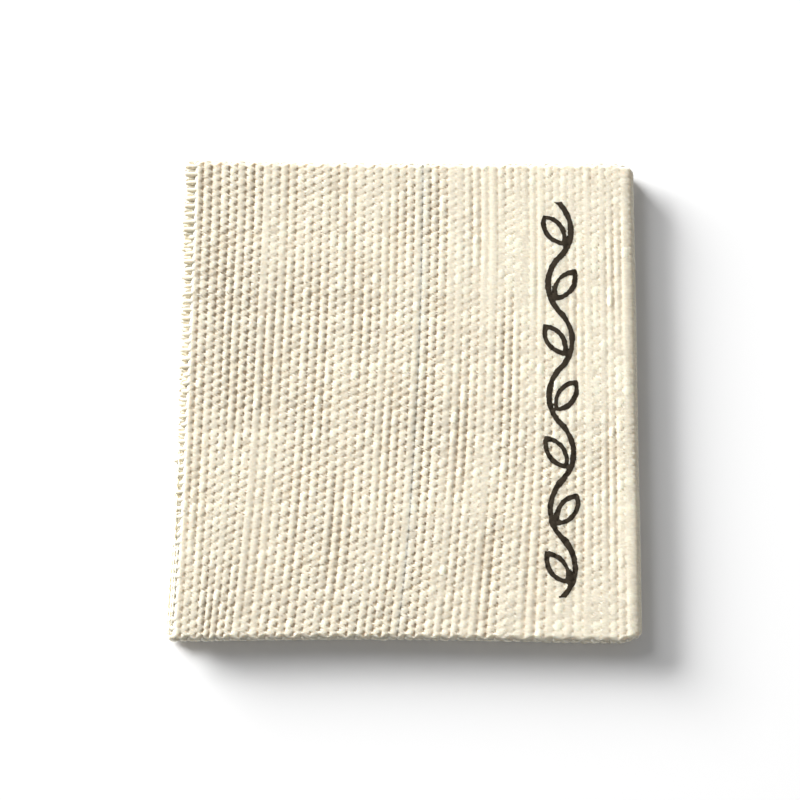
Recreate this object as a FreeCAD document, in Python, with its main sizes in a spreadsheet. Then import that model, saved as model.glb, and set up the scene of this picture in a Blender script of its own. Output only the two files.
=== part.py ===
"""Sew-in label of cotton rep tape, folded once across its length and lying flat.

Frame, in millimetres: +Z up, origin under the middle of the label on the surface it lies on. The fold is at
+X, the two cut ends are at -X, and the selvedges of the tape are at +Y and -Y. The lower leaf is the back of
the label, the upper leaf the front. Between them the cloth turns through half a circle, which is modelled
as one narrow strip with a crease line on each side: the leaf opens by turning 90 degrees about each.
"""
import FreeCAD, Part
import math
import os
import Sketcher

# name, millimetres (or a plain count), meaning
SIZES = (
    ("tape_width", 25.0, "across the tape, selvedge to selvedge"),
    ("cloth_thick", 0.5, "one layer of the woven tape"),
    ("leaf_gap", 0.2, "air between the two leaves"),
    ("back_leaf_long", 22.65, "cut end to the start of the turn, lower leaf"),
    ("front_leaf_long", 22.5, "the same on the upper leaf"),
    ("crease_reach", 0.275, "crease line from the turn's centre, along X and along Z"),
    ("crease_clear", 0.02, "air between the turn strip and each leaf"),
    ("selvedge_round", 0.15, "rounding of the woven edges"),
    ("end_length", 0.35, "warp ends standing proud of the last weft pick"),
    ("end_width", 0.18, "diameter of a warp end"),
    ("end_count", 59, "warp ends standing proud on one leaf"),
    ("end_margin", 0.32, "first warp end from the selvedge"),
    ("print_thick", 0.02, "printed ink above the cloth"),
    ("print_inset", 3.95, "middle of the printed band from the fold"),
    ("print_pitch", 2.9, "one leaf of the printed vine to the next"),
    ("stem_line", 0.28, "width of the vine's stem"),
    ("stem_swing", 0.6, "stem from the band's middle, each way"),
    ("sprig_long", 2.0, "one printed leaf, tip to tip"),
    ("sprig_wide", 1.05, "one printed leaf, across"),
    ("sprig_line", 0.24, "width of the printed leaf's outline"),
    ("sprig_offset", 0.27, "printed leaf's middle from the band's middle"),
    ("sprig_lean", 35.0, "printed leaf from the band's direction, in degrees"),
)
VINE_RIGHT, VINE_LEFT = 4, 3  # bends of the vine to each side


class Bound:
    """A number worked out from the sheet's cells, together with the formula that keeps it bound to them."""

    def __init__(self, value, formula):
        self.value = value
        self.formula = formula

    def combine(self, other, sign, value):
        return Bound(value, f"({self.formula} {sign} {as_bound(other).formula})")

    def __add__(self, other):
        return self.combine(other, "+", self.value + as_bound(other).value)

    def __sub__(self, other):
        return self.combine(other, "-", self.value - as_bound(other).value)

    def __mul__(self, other):
        return self.combine(other, "*", self.value * as_bound(other).value)

    def __truediv__(self, other):
        return self.combine(other, "/", self.value / as_bound(other).value)

    def __neg__(self):
        return self * -1


def as_bound(number):
    return number if isinstance(number, Bound) else Bound(number, f"{number}")


def root(number):
    return Bound(math.sqrt(number.value), f"sqrt{number.formula}")


def make_sheet(doc):
    """The sheet of driving sizes, and each of them as a bound number by its name."""
    sheet = doc.addObject("Spreadsheet::Sheet", "sizes")
    bound = {}
    for row, (name, number, meaning) in enumerate(SIZES, start=1):
        sheet.set(f"A{row}", f"{number}")
        sheet.setAlias(f"A{row}", name)
        sheet.set(f"B{row}", meaning)
        bound[name] = Bound(number, f"sizes.{name}")
    doc.recompute()
    return bound


def make_body(doc, name, place):
    """An empty body labelled as its node, standing at a bound place in the label's frame."""
    body = doc.addObject("PartDesign::Body", name)
    body.Label = name
    for axis, number in zip("xyz", place):
        body.setExpression(f"Placement.Base.{axis}", as_bound(number).formula)
    return body


def origin_feature(body, role):
    return next(f for f in body.Origin.OriginFeatures if f.Role == role)


def make_sketch(body, name, plane):
    sketch = body.newObject("Sketcher::SketchObject", name)
    sketch.AttachmentSupport = [(origin_feature(body, plane), "")]
    sketch.MapMode = "FlatFace"
    return sketch


def pin_point(sketch, edge, end, x, y):
    """Holds one end (or the centre, 3) of an edge at bound coordinates; None leaves a coordinate free."""
    axes = (("DistanceX", x, -2), ("DistanceY", y, -1))
    for kind, number, own_axis in axes:
        if number is None:
            continue
        if number.value == 0:
            sketch.addConstraint(Sketcher.Constraint("PointOnObject", edge, end, own_axis))
            continue
        index = sketch.addConstraint(Sketcher.Constraint(kind, -1, 1, edge, end, number.value))
        sketch.setExpression(f"Constraints[{index}]", number.formula)


def draw_outline(sketch, corners):
    """A closed outline. Each corner is (x, y, arc): arc is None for a straight run to the next corner, or
    (centre x, centre y, turn), with turn 1 for an arc that runs anticlockwise and -1 for clockwise. A corner
    at the end of an arc keeps only its x pinned, because the arc's radius gives its y."""
    first = len(sketch.Geometry)
    count = len(corners)
    for index, (x, y, arc) in enumerate(corners):
        end_x, end_y, _ = corners[(index + 1) % count]
        start = FreeCAD.Vector(x.value, y.value, 0)
        end = FreeCAD.Vector(end_x.value, end_y.value, 0)
        if arc is None:
            sketch.addGeometry(Part.LineSegment(start, end))
            continue
        centre = FreeCAD.Vector(arc[0].value, arc[1].value, 0)
        circle = Part.Circle(centre, FreeCAD.Vector(0, 0, 1), (start - centre).Length)
        angles = [math.atan2(p.y - centre.y, p.x - centre.x) for p in (start, end)]
        low, high = angles if arc[2] > 0 else reversed(angles)
        sketch.addGeometry(Part.ArcOfCircle(circle, low, high))
    # a clockwise arc is stored anticlockwise, so its ends are the other way round
    starts = [2 if corner[2] and corner[2][2] < 0 else 1 for corner in corners]
    for index, (x, y, arc) in enumerate(corners):
        edge, before = first + index, (index - 1) % count
        sketch.addConstraint(
            Sketcher.Constraint("Coincident", first + before, 3 - starts[before], edge, starts[index])
        )
        after_arc = corners[before][2] is not None
        pin_point(sketch, edge, starts[index], x, None if after_arc else y)
        if arc:
            pin_point(sketch, edge, 3, arc[0], arc[1])


def make_pad(body, sketch, length, symmetric=False, reverse=False):
    pad = body.newObject("PartDesign::Pad", f"{sketch.Name}_pad")
    pad.Profile = sketch
    pad.setExpression("Length", length.formula)
    if symmetric:
        pad.SideType = "Symmetric"
    pad.Reversed = reverse
    sketch.Visibility = False
    return pad


def make_row(body, feature, axis, length, occurrences):
    """Repeats a feature along one of the body's own axes and makes the row the body's result."""
    row = body.newObject("PartDesign::LinearPattern", f"{feature.Name}_row")
    row.Originals = [feature]
    row.Direction = (origin_feature(body, axis), [""])
    row.setExpression("Length", length.formula)
    row.Occurrences = occurrences
    body.Tip = row
    return row


def turn_radii(size):
    """Inner and outer radius of the cloth where it turns from one leaf to the other."""
    inner = size["leaf_gap"] / 2
    return inner, inner + size["cloth_thick"]


def turn_place(size):
    """The centre of the turn, from which both leaves and the turn strip are drawn."""
    outer = turn_radii(size)[1]
    depth = size["back_leaf_long"] + size["end_length"] + outer
    return depth / 2 - outer, 0, outer


def add_leaf(doc, size, name, long, side):
    """One leaf: a flat slab with its share of the turn. side is -1 for the lower leaf, 1 for the upper."""
    inner, outer = turn_radii(size)
    reach = size["crease_reach"]
    body = make_body(doc, name, turn_place(size))
    sketch = make_sketch(body, f"{name}_section", "XZ_Plane")
    zero = as_bound(0)
    section = (
        (-long, outer * side, None),
        (zero, outer * side, (zero, zero, -side)),
        (reach, root(outer * outer - reach * reach) * side, None),
        (reach, reach * side, None),
        (inner, inner * side, None),
        (-long, inner * side, None),
    )
    draw_outline(sketch, section)
    pad = make_pad(body, sketch, size["tape_width"], symmetric=True)
    doc.recompute()
    half = size["tape_width"].value / 2
    woven_edges = [
        f"Edge{number}"
        for number, edge in enumerate(pad.Shape.Edges, start=1)
        if edge.Length >= long.value and abs(abs(edge.CenterOfMass.y) - half) < 1e-6
    ]
    fillet = body.newObject("PartDesign::Fillet", f"{name}_selvedge")
    fillet.Base = (pad, woven_edges)
    fillet.setExpression("Radius", size["selvedge_round"].formula)
    return body


def add_fold_turn(doc, size):
    """The strip of cloth between the two crease lines, standing on edge while the label is folded."""
    inner, outer = turn_radii(size)
    clear = size["crease_clear"]
    high = size["crease_reach"] - clear
    near = size["crease_reach"] + clear
    inside = inner + clear * 2
    bulge = root(outer * outer - high * high)
    body = make_body(doc, "fold_turn", turn_place(size))
    sketch = make_sketch(body, "fold_turn_section", "XZ_Plane")
    zero = as_bound(0)
    section = (
        (near, -high, None),
        (bulge, -high, (zero, zero, 1)),
        (bulge, high, None),
        (near, high, None),
        (inside, inner, None),
        (inside, -inner, None),
    )
    draw_outline(sketch, section)
    make_pad(body, sketch, size["tape_width"], symmetric=True)
    return body


def add_cut_ends(doc, size, name, long, side):
    """The row of warp ends that stand proud of one leaf's cut edge, each a separate solid."""
    inner, outer = turn_radii(size)
    centre_x, _, centre_z = turn_place(size)
    body = make_body(doc, name, (centre_x - long, 0, centre_z + (inner + outer) / 2 * side))
    sketch = make_sketch(body, f"{name}_section", "YZ_Plane")
    first = size["end_margin"] - size["tape_width"] / 2
    circle = Part.Circle(
        FreeCAD.Vector(first.value, 0, 0), FreeCAD.Vector(0, 0, 1), size["end_width"].value / 2
    )
    edge = sketch.addGeometry(circle)
    pin_point(sketch, edge, 3, first, as_bound(0))
    index = sketch.addConstraint(Sketcher.Constraint("Diameter", edge, size["end_width"].value))
    sketch.setExpression(f"Constraints[{index}]", size["end_width"].formula)
    pad = make_pad(body, sketch, size["end_length"], reverse=True)
    make_row(body, pad, "Y_Axis", size["tape_width"] - size["end_margin"] * 2, int(size["end_count"].value))
    return body


def add_vine_bends(body, size, side, count):
    """The bends of the printed vine to one side: a bow of stem and a leaf in its hollow, repeated."""
    pitch, line, swing = size["print_pitch"], size["stem_line"], size["stem_swing"]
    half = pitch / 2
    radius = (swing * swing + half * half) / (swing * 2)
    bow_x = (swing - radius) * side
    start = -pitch * (count - 1)
    outer, inner = radius + line / 2, radius - line / 2
    low, high = start - half, start + half
    outer_x = bow_x + root(outer * outer - half * half) * side
    inner_x = bow_x + root(inner * inner - half * half) * side
    label = "right" if side > 0 else "left"
    stem = make_sketch(body, f"stem_{label}", "XY_Plane")
    bow = (
        (outer_x, low, (bow_x, start, side)),
        (outer_x, high, None),
        (inner_x, high, (bow_x, start, -side)),
        (inner_x, low, None),
    )
    draw_outline(stem, bow)
    make_row(body, make_pad(body, stem, size["print_thick"]), "Y_Axis", pitch * 2 * (count - 1), count)

    sprig = make_sketch(body, f"sprig_{label}", "XY_Plane")
    half_long, half_wide = size["sprig_long"] / 2, size["sprig_wide"] / 2
    curve = (half_long * half_long + half_wide * half_wide) / (half_wide * 2)
    shift = curve - half_wide
    rim = curve - size["sprig_line"]
    hollow = root(rim * rim - shift * shift)
    lean = math.radians(size["sprig_lean"].value)
    along = (-math.sin(lean) * side, math.cos(lean))
    across = (math.cos(lean), math.sin(lean) * side)

    def at(tip, wide):
        x = -size["sprig_offset"] * side + tip * along[0] + wide * across[0]
        return x, start + tip * along[1] + wide * across[1]

    none = as_bound(0)
    for reach in (half_long, hollow):
        lens = (
            (*at(-reach, none), (*at(none, -shift), 1)),
            (*at(reach, none), (*at(none, shift), 1)),
        )
        draw_outline(sprig, lens)
    make_row(body, make_pad(body, sprig, size["print_thick"]), "Y_Axis", pitch * 2 * (count - 1), count)


def add_printed_vine(doc, size):
    """The print near the fold: a plain running vine, one thin layer of ink on the front leaf."""
    centre_x, _, centre_z = turn_place(size)
    outer = turn_radii(size)[1]
    body = make_body(doc, "printed_vine", (centre_x + outer - size["print_inset"], 0, centre_z + outer))
    add_vine_bends(body, size, 1, VINE_RIGHT)
    add_vine_bends(body, size, -1, VINE_LEFT)
    return body


def check_and_export(doc, pieces):
    """Stops if any object failed or any piece isn't a valid solid, then writes one file for each piece."""
    doc.recompute()
    for thing in doc.Objects:
        if {"Invalid", "Error"} & set(thing.State):
            raise SystemExit(f"{thing.Label} is {thing.State}")
    os.makedirs("parts", exist_ok=True)
    for piece in pieces:
        shape = piece.Shape
        if shape.isNull() or not shape.isValid() or not shape.Solids:
            raise SystemExit(f"{piece.Label} isn't a valid solid")
        box = shape.optimalBoundingBox()
        print(
            f"{piece.Label}: {len(shape.Solids)} solids, {shape.Volume:.3f} mm3, "
            f"x {box.XMin:.3f} to {box.XMax:.3f}, y {box.YMin:.3f} to {box.YMax:.3f}, "
            f"z {box.ZMin:.3f} to {box.ZMax:.3f}"
        )
        shape.exportStep(f"parts/{piece.Label}.step")


def main():
    doc = FreeCAD.newDocument("folded_label")
    size = make_sheet(doc)
    pieces = [
        add_leaf(doc, size, "back_leaf", size["back_leaf_long"], -1),
        add_leaf(doc, size, "front_leaf", size["front_leaf_long"], 1),
        add_fold_turn(doc, size),
        add_cut_ends(doc, size, "back_cut_ends", size["back_leaf_long"], -1),
        add_cut_ends(doc, size, "front_cut_ends", size["front_leaf_long"], 1),
        add_printed_vine(doc, size),
    ]
    check_and_export(doc, pieces)


main()
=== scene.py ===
"""A folded cotton sew-in label, woven thread by thread over its CAD frame.

The tape is one strip of warp-faced rep, folded once. Each half of the strip is a closed sheet whose
relief is the plain weave itself: warp threads that rise over one pick and dive under the next. Loose
picks, cut warp ends, selvedge turns and stray fibres are separate threads, and the print is a thin film
that follows the weave. Lengths are in millimetres until a mesh is made.
"""

import logging
import math
from dataclasses import dataclass
from enum import Enum
from typing import ClassVar

import bpy
import numpy as np
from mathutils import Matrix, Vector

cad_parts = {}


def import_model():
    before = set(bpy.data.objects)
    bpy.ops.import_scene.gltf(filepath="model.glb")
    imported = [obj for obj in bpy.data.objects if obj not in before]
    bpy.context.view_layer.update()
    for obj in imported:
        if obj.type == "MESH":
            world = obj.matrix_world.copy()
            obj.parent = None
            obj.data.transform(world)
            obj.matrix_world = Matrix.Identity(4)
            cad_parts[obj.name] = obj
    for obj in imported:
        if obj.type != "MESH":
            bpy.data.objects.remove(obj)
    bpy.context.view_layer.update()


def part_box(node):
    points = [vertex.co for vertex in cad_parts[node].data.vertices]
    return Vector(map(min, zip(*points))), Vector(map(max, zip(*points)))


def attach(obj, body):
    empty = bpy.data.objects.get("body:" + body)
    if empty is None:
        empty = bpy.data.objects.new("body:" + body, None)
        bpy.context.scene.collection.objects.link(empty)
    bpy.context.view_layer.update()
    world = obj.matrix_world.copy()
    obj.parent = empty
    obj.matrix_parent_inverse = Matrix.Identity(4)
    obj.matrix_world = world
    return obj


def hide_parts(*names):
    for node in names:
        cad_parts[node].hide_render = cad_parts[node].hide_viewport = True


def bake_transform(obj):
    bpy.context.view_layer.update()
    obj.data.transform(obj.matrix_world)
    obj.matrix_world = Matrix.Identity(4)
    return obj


log = logging.getLogger("label")

MM = 0.001
SEED = 4127

# Rows that the tables of uneven values have to spare at each end, past the last thread.
SPARE = 4


class Side(Enum):
    """The two halves of the folded strip, by the way their outer face looks."""

    FRONT = 1
    BACK = -1

    @property
    def body(self) -> str:
        """The CAD body that this half belongs to."""
        return "front" if self is Side.FRONT else "back"


class Face(Enum):
    """The face of the cloth that shows when folded, and the one that is folded in."""

    OUTER = 1
    INNER = -1


@dataclass(frozen=True)
class TapeShape:
    """Where the folded strip lies, in millimetres, read from the CAD frame."""

    front_end: float
    back_end: float
    turn_x: float
    turn_z: float
    turn_radius: float
    half_thick: float
    half_wide: float

    # Power of the rounded square that the turn follows; 2 would be a circle.
    SQUARED: ClassVar[float] = 2.8

    @classmethod
    def from_frame(cls, border: float) -> "TapeShape":
        """Reads the strip from the CAD nodes.

        Args:
            border: width in millimetres that the selvedge turns add at each woven edge.

        Returns:
            The shape that the woven strip has to follow.
        """
        front_low, front_high = (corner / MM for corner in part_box("front_leaf"))
        back_low, back_high = (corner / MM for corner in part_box("back_leaf"))
        turn_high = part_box("fold_turn")[1] / MM
        half_thick = 0.5 * (back_high.z - back_low.z)
        middle = 0.5 * (front_high.z + back_low.z)
        return cls(
            front_end=front_low.x,
            back_end=back_low.x,
            turn_x=turn_high.x - 0.5 * (front_high.z - back_low.z),
            turn_z=middle,
            turn_radius=front_high.z - half_thick - middle,
            half_thick=half_thick,
            half_wide=back_high.y - border,
        )

    @property
    def quarter_arc(self) -> float:
        """Length of cloth, along its middle, from the outermost line of the turn to a flat leaf."""
        return 0.5 * math.pi * self.turn_radius

    def length(self, side: Side) -> float:
        """Length of cloth from the outermost line of the turn to the cut end.

        Args:
            side: the half of the strip.

        Returns:
            The length in millimetres.
        """
        end = self.front_end if side is Side.FRONT else self.back_end
        return self.turn_x - end + self.quarter_arc

    def place(self, side: Side, along: np.ndarray, across: np.ndarray, lift: np.ndarray) -> np.ndarray:
        """Takes points of the flat strip to where they are when it is folded.

        Args:
            side: the half of the strip.
            along: distance from the outermost line of the turn.
            across: distance from the middle of the strip's width.
            lift: height above the cloth's middle, positive towards the outer face.

        Returns:
            The points, with x, y and z in the last axis.
        """
        along, across, lift = np.broadcast_arrays(along, across, lift)
        angle = np.clip(along, 0, self.quarter_arc) / self.turn_radius
        squared = (np.cos(angle) ** self.SQUARED + np.sin(angle) ** self.SQUARED) ** (-1 / self.SQUARED)
        reach = (self.turn_radius + lift) * squared
        x = self.turn_x + reach * np.cos(angle) - np.maximum(along - self.quarter_arc, 0)
        z = self.turn_z + side.value * reach * np.sin(angle)
        return np.stack([x, across, z], -1)


class Ripple:
    """A smooth unevenness made of a few sine waves, the same at each run."""

    def __init__(self, rng: np.random.Generator, shortest: float, longest: float, count: int = 7) -> None:
        """Picks the waves.

        Args:
            rng: source of the picks.
            shortest: shortest wavelength.
            longest: longest wavelength.
            count: number of waves.
        """
        size = 2 * math.pi / rng.uniform(shortest, longest, count)
        way = rng.uniform(0, 2 * math.pi, count)
        self._x, self._y = size * np.cos(way), size * np.sin(way)
        self._phase = rng.uniform(0, 2 * math.pi, count)

    def __call__(self, x: np.ndarray, y: np.ndarray) -> np.ndarray:
        """Gives the unevenness at places on the strip.

        Args:
            x: first coordinate of each place.
            y: second coordinate of each place.

        Returns:
            The unevenness, mostly between -1 and 1.
        """
        waves = np.multiply.outer(x, self._x) + np.multiply.outer(y, self._y) + self._phase
        return np.sin(waves).sum(-1) * math.sqrt(1 / len(self._phase))


def smooth_step(value: np.ndarray) -> np.ndarray:
    """Eases a ramp.

    Args:
        value: where on the ramp, from 0 to 1; values beyond are held at the ends.

    Returns:
        The eased value, from 0 to 1.
    """
    value = np.clip(value, 0, 1)
    return value * value * (3 - 2 * value)


@dataclass(frozen=True)
class WeaveSizes:
    """Thread counts, and thread sizes in millimetres or, across the warp, in warp spacings.

    Attributes:
        warps: warp threads across the strip.
        ribs: picks from the turn to the cut end of each half.
        seam_rib: pick at which each half is divided into its two sheets.
        border: width that the selvedge turns add at each woven edge.
        base: height of the flanks of a warp thread.
        rise: how far a warp thread rises from there over a pick.
        bulge: how far its rounded back stands above its flanks.
        pick_top: greatest height of a pick.
        pick_fall: how far a pick rounds down to the valleys beside it, in open cloth.
        pick_sink: how much lower the picks lie in open cloth.
        pore_shade_depth: depth below the picks at which a pore has its full painted shade colour.
        float_half: half width of a warp thread in the middle of its float.
        cross_half: half width of a warp thread where it dives.
        tight_half: what tight cloth adds to the half width of a diving thread.
        lean: how far a warp thread sways from pick to pick.
        closing: warp spacings over which the cloth rounds down at a woven edge.
        ending: picks over which it rounds down at the cut end.
    """

    warps: int = 116
    ribs: int = 54
    seam_rib: int = 27
    border: float = 0.14
    base: float = 0.214
    rise: float = 0.021
    bulge: float = 0.015
    pick_top: float = 0.245
    pick_fall: float = 0.047
    pick_sink: float = 0.018
    pore_shade_depth: float = 0.06
    float_half: float = 1.08
    cross_half: float = 0.27
    tight_half: float = 0.2
    lean: float = 0.33
    closing: float = 1.15
    ending: float = 0.4


@dataclass(frozen=True)
class Unevenness:
    """How much threads and picks differ: heights in millimetres, the rest in warp spacings or tones.

    Attributes:
        row: height of the slow waves along a pick.
        rib: height of one pick against the next.
        own_size: half width of one warp thread against the next.
        thickness: slow change of half width along a warp thread.
        float_width: half width of one float against the next.
        float_height: height of one float against the next.
        place: sideways place of one warp thread against the next.
        gap: share by which the sway differs from valley to valley.
        slubs: number of floats that are much fuller than the rest.
        slub_size: how much fuller they are.
        rib_tone: tone of one pick against the next.
        pick_tone: tone of the picks against the warp.
        warp_tone: tone of one warp thread against the next.
        float_tone: tone of one float against the next.
        open_painted_shade: painted shade, how much darker open cloth is drawn than tight cloth, standing
            in for the lower light on the cut-end side.
        open_level: openness at which that painted shade is nil.
    """

    row: float = 0.014
    rib: float = 0.01
    own_size: float = 0.07
    thickness: float = 0.06
    float_width: float = 0.07
    float_height: float = 0.007
    place: float = 0.12
    gap: float = 0.3
    slubs: int = 60
    slub_size: float = 3.0
    rib_tone: float = 0.6
    pick_tone: float = -0.6
    warp_tone: float = 0.7
    float_tone: float = 0.4
    # Painted shade: open cloth is drawn darker, standing in for less light on the cut-end side.
    open_painted_shade: float = 1.1
    open_level: float = 0.45


@dataclass(frozen=True)
class StripForm:
    """How the woven strip strays from a plain grid, in millimetres.

    Attributes:
        bow: how the picks lean and curve across the width, by the first, second and third power.
        slack: slow unevenness of that bow.
        free_from: distance from the turn at which the bow is full.
        cut_zone: distance from the cut end within which the picks straighten.
        cut_hold: share of the bow that is taken out at the cut end.
        cut_shift: how far the picks lie back there instead.
        rim: width beside a woven edge that is drawn in at the turn.
        tuck: how far it is drawn in.
        tuck_reach: distance from the turn over which that fades.
        wander: slow sideways wander of the warp threads.
        waist: how far each woven edge is drawn in half-way along the strip's half.
    """

    bow: tuple[float, float, float] = (0.042, -0.0024, 0.00004)
    slack: float = 0.03
    free_from: float = 8.0
    cut_zone: float = 4.0
    cut_hold: float = 0.6
    cut_shift: float = 0.14
    rim: float = 2.5
    tuck: float = 0.3
    tuck_reach: float = 0.62
    wander: float = 0.03
    waist: float = 0.12


class Weave:
    """The plain weave of the strip: which thread lies on top where, and how high."""

    def __init__(self, shape: TapeShape, sizes: WeaveSizes, seed: int) -> None:
        """Lays out the picks and gives each thread its own unevenness.

        Args:
            shape: the folded strip.
            sizes: thread counts and sizes.
            seed: number that fixes the unevenness.
        """
        self.shape, self.sizes = shape, sizes
        self.uneven, self.form = Unevenness(), StripForm()
        rng = np.random.default_rng(seed)
        count, ribs = sizes.warps + 2 * SPARE, sizes.ribs + SPARE
        self.pitch = 2 * shape.half_wide / sizes.warps
        self.middle = 0.5 * (sizes.warps - 1)
        self._warp_size = rng.normal(0, 1, count)
        self._warp_tone = rng.normal(0, 1, count)
        self._warp_place = rng.normal(0, 1, count)
        self._float_size = rng.normal(0, 1, (count, 2 * ribs))
        self._rib_size = rng.normal(0, 1, 2 * ribs)
        self._rib_tone = rng.normal(0, 1, 2 * ribs)
        self._gap = rng.normal(0, 1, (count, 2 * ribs))
        self._row = Ripple(rng, 1.6, 4.5, 9)
        self._open = Ripple(rng, 6, 40, 14)
        self._slack = Ripple(rng, 5, 22)
        self._thick = Ripple(rng, 6, 40)
        self._wander = Ripple(rng, 14, 70)
        slubs = self.uneven.slubs
        full = rng.integers(0, count, slubs), rng.integers(0, 2 * ribs, slubs)
        self._float_size[full] += self.uneven.slub_size
        self.knots = {side: self._lay_picks(side, rng) for side in Side}

    def _lay_picks(self, side: Side, rng: np.random.Generator) -> np.ndarray:
        """Spaces the picks, closer at the turn and a little wider at the cut end.

        Args:
            side: the half of the strip.
            rng: source of the uneven spacing.

        Returns:
            The distance from the turn of each valley between picks, the first one being 0.
        """
        wider, closer, closer_ribs, uneven = 0.05, 0.1, 7, 0.035
        rib = np.arange(self.sizes.ribs) + 0.5
        pitch = 1 + wider * smooth_step(rib / self.sizes.ribs) - closer * np.exp(-rib / closer_ribs)
        pitch = pitch * (1 + uneven * rng.normal(0, 1, self.sizes.ribs))
        valleys = np.concatenate([[0], np.cumsum(pitch)])
        return valleys * self.shape.length(side) / valleys[-1]

    def _warp(self, table: np.ndarray, warp: np.ndarray) -> np.ndarray:
        """Looks up the value of each warp thread in a table."""
        return table[np.clip(warp + SPARE, 0, len(table) - 1)]

    def _rib(self, side: Side, run: np.ndarray) -> np.ndarray:
        """Gives the row of the per-rib tables that a place along the strip belongs to."""
        return np.floor(side.value * run).astype(int) + self.sizes.ribs + SPARE

    def openness(self, side: Side, run: np.ndarray, column: np.ndarray) -> np.ndarray:
        """Tells how open the weave is, tight by the fold and looser towards the cut end.

        Args:
            side: the half of the strip.
            run: place along the strip, in picks from the turn.
            column: place across, in warp threads.

        Returns:
            The openness, from 0 for cloth that is beaten tight to about 1.
        """
        tight, gain, patchy, most = 0.25, 0.7, 0.3, 1.3
        slope = smooth_step((run - 4) / (0.8 * self.sizes.ribs))
        patch = self._open(side.value * run, 0.3 * column)
        return np.clip(tight + gain * slope + patchy * patch, 0, most)

    def lean(self, side: Side, run: np.ndarray, column: np.ndarray) -> np.ndarray:
        """Gives how far a warp thread sways sideways from pick to pick, in warp spacings."""
        return self.sizes.lean * (0.55 + 0.5 * self.openness(side, run, column))

    def _sway(self, side: Side, run: np.ndarray, warp: np.ndarray, lean: np.ndarray) -> np.ndarray:
        """Sways a warp thread about its own line.

        Args:
            side: the half of the strip.
            run: place along the strip, in picks from the turn.
            warp: number of the thread.
            lean: how far it sways there.

        Returns:
            How far the thread lies to one side, in warp spacings.
        """
        signed = side.value * run
        valley = np.rint(signed).astype(int) + self.sizes.ribs + SPARE
        thread = np.clip(warp.astype(int) + SPARE, 0, self.sizes.warps + 2 * SPARE - 1)
        gap = np.clip(self._gap[thread, valley], -2, 1.2)
        return -lean * (1 + self.uneven.gap * gap) * np.sin(np.pi * (signed - 0.5 - warp))

    def columns(self, side: Side, run: np.ndarray, column: np.ndarray) -> np.ndarray:
        """Moves mesh columns sideways so that they stay on their own swaying thread.

        Args:
            side: the half of the strip.
            run: place along the strip, in picks from the turn.
            column: place across, in warp threads, before the sway.

        Returns:
            The place across after the sway.
        """
        warp = np.rint(column)
        hold = np.interp(np.abs(column - warp), (0.0, 0.3, 0.5), (1.0, 0.5, 0.0))
        return column + hold * self._sway(side, run, warp, self.lean(side, run, column))

    def top(
        self, side: Side, run: np.ndarray, across: np.ndarray, face: Face
    ) -> tuple[np.ndarray, np.ndarray]:
        """Height of the topmost thread above the cloth's middle.

        Args:
            side: the half of the strip.
            run: place along the strip, in picks from the turn.
            across: place across, in warp threads.
            face: the face looked at.

        Returns:
            The height, and a tone from about -1 to 1 of the thread that is on top, lowered by painted
            shade where the cloth is open.
        """
        sizes, uneven = self.sizes, self.uneven
        signed = side.value * run
        rib = self._rib(side, run)
        near = np.rint(across).astype(int)
        opened = self.openness(side, run, across)
        lean = self.lean(side, run, across)
        middle = 2 * (signed - np.floor(signed)) - 1
        sunk = uneven.row * self._row(np.rint(signed), 0.05 * across) * middle * middle
        rounded = 1 - np.sqrt(np.clip(1 - 0.98 * middle * middle, 0, 1))
        height = sizes.pick_top - sizes.pick_fall * (0.5 + 0.5 * opened) * rounded
        height = height + uneven.rib * self._rib_size[rib] - sizes.pick_sink * opened + sunk
        tone = uneven.rib_tone * self._rib_tone[rib] + uneven.pick_tone
        for step in (-1, 0, 1):
            warp = near + step
            turn = np.pi * (signed - 0.5 - warp)
            over = face.value * np.cos(turn)
            shown = np.clip(over, 0, 1)
            own = self._float_size[np.clip(warp + SPARE, 0, sizes.warps + 2 * SPARE - 1), rib]
            size = uneven.own_size * self._warp(self._warp_size, warp)
            size = size + uneven.thickness * self._thick(signed, warp)
            half = sizes.cross_half + sizes.tight_half * (1 - opened) * (1 - shown) + 0.8 * size
            gain = sizes.float_half - sizes.cross_half + uneven.float_width * own - 0.05 * opened
            half = half + shown**0.65 * gain
            place = warp + self._sway(side, run, warp, lean)
            place = place + uneven.place * self._warp(self._warp_place, warp)
            apart = (across - place) / np.maximum(half, 0.2)
            lift = sizes.rise * (1 + (np.sin(0.5 * np.pi * over) - 1) * (0.5 + 0.5 * opened))
            raised = sizes.base + lift + sunk + 0.2 * size * sizes.rise
            raised = raised + uneven.float_height * shown * own
            raised = raised + sizes.bulge * np.sqrt(np.clip(1 - apart**4, 0, 1))
            on_top = (np.abs(apart) < 1) & (raised > height)
            height = np.where(on_top, raised, height)
            thread_tone = uneven.warp_tone * self._warp(self._warp_tone, warp) + uneven.float_tone * own
            tone = np.where(on_top, thread_tone, tone)
        if side is Side.BACK and face is Face.OUTER:
            height = np.minimum(height, self.shape.half_thick)
        # Open cloth loses tone here: painted shade for the less-lit cut-end side.
        return height, tone - uneven.open_painted_shade * (opened - uneven.open_level)

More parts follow.
